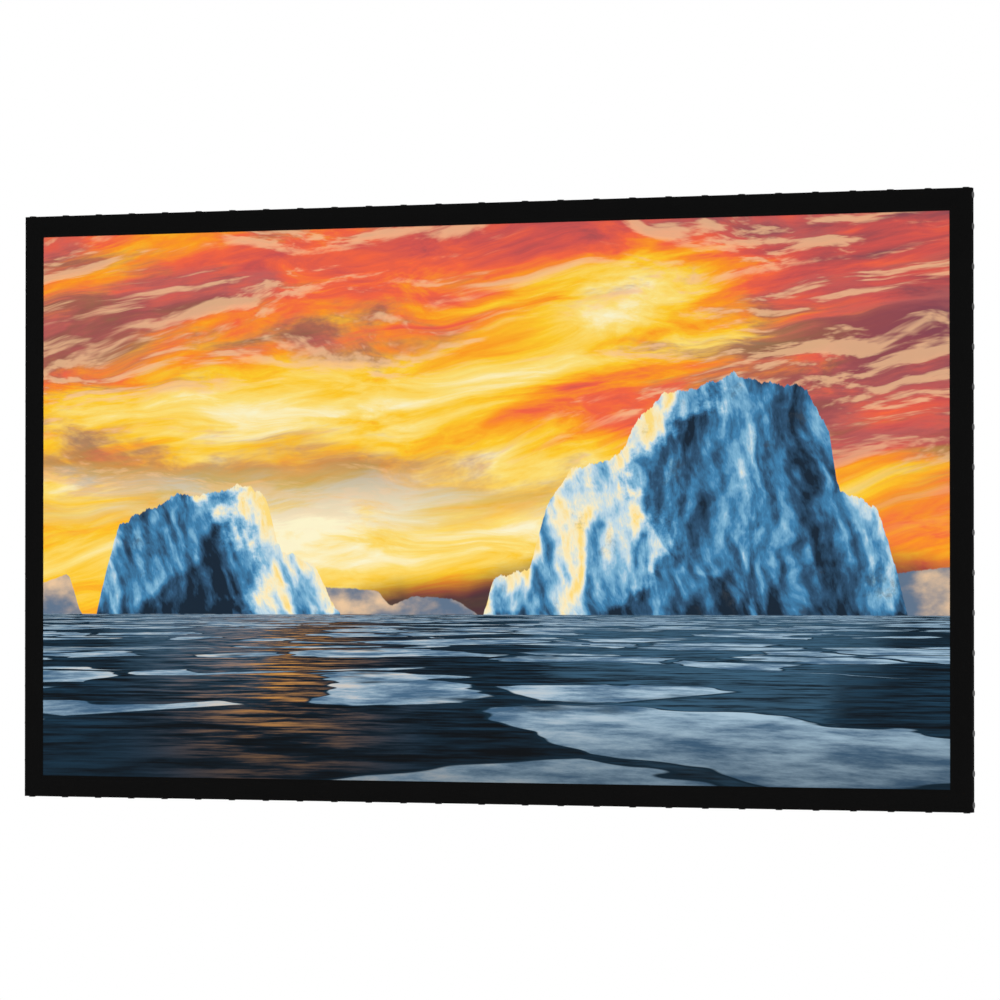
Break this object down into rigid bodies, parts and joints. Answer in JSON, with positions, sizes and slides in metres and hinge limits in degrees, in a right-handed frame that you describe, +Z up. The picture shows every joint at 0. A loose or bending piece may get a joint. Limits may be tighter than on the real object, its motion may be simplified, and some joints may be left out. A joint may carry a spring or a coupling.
{
  "type": "fixed frame projector screen",
  "caption": "Wall-hung fixed frame projector screen: a white sheet in a flat black border, snapped over a hollow aluminium frame with hanging clips.",
  "frame": {"origin": "centre of the hung screen's box, half way between the border's front face and the wall", "axes": "+X to the right as seen by the viewer, +Y into the wall, +Z up; the picture faces -Y"},
  "size_m": [2.315, 0.023, 1.346],
  "materials": {
    "projection_sheet": "matte white coated sheet with a very fine texture, shown with a picture thrown on it",
    "black_border": "dead matte black, with satin grey metal snap caps along the outer side",
    "coated_aluminium": "satin black powder coat",
    "mill_aluminium": "plain extruded",
    "black_nylon": "moulded, slightly grained",
    "zinc_steel": "bright zinc plate",
    "zinc_screw": "zinc plated, cross recess",
    "black_rubber": "soft matte rubber"
  },
  "bodies": {
    "root": {"viewing_sheet": "projection_sheet", "centre_brace": "coated_aluminium", "border_strip_top": "black_border", "rail_top_left": "coated_aluminium", "rail_top_right": "coated_aluminium", "splice_sleeve_top": "mill_aluminium", "screw_splice_top_left": "zinc_screw", "screw_splice_top_right": "zinc_screw", "border_strip_right": "black_border", "rail_right_upper": "coated_aluminium", "rail_right_lower": "coated_aluminium", "splice_sleeve_right": "mill_aluminium", "screw_splice_right_upper": "zinc_screw", "screw_splice_right_lower": "zinc_screw", "border_strip_bottom": "black_border", "rail_bottom_right": "coated_aluminium", "rail_bottom_left": "coated_aluminium", "splice_sleeve_bottom": "mill_aluminium", "screw_splice_bottom_right": "zinc_screw", "screw_splice_bottom_left": "zinc_screw", "border_strip_left": "black_border", "rail_left_lower": "coated_aluminium", "rail_left_upper": "coated_aluminium", "splice_sleeve_left": "mill_aluminium", "screw_splice_left_lower": "zinc_screw", "screw_splice_left_upper": "zinc_screw", "corner_key_top_left": "black_nylon", "screw_corner_top_left_1": "zinc_screw", "screw_corner_top_left_2": "zinc_screw", "corner_key_top_right": "black_nylon", "screw_corner_top_right_1": "zinc_screw", "screw_corner_top_right_2": "zinc_screw", "corner_key_bottom_right": "black_nylon", "screw_corner_bottom_right_1": "zinc_screw", "screw_corner_bottom_right_2": "zinc_screw", "corner_key_bottom_left": "black_nylon", "screw_corner_bottom_left_1": "zinc_screw", "screw_corner_bottom_left_2": "zinc_screw", "t_plate_top": "zinc_steel", "screw_brace_top_1": "zinc_screw", "screw_brace_top_2": "zinc_screw", "t_plate_bottom": "zinc_steel", "screw_brace_bottom_1": "zinc_screw", "screw_brace_bottom_2": "zinc_screw", "frame_clip_left": "zinc_steel", "wall_clip_left": "zinc_steel", "bumper_left": "black_rubber", "screw_clip_left_1": "zinc_screw", "screw_clip_left_2": "zinc_screw", "frame_clip_right": "zinc_steel", "wall_clip_right": "zinc_steel", "bumper_right": "black_rubber", "screw_clip_right_1": "zinc_screw", "screw_clip_right_2": "zinc_screw"}
  },
  "joints": []
}
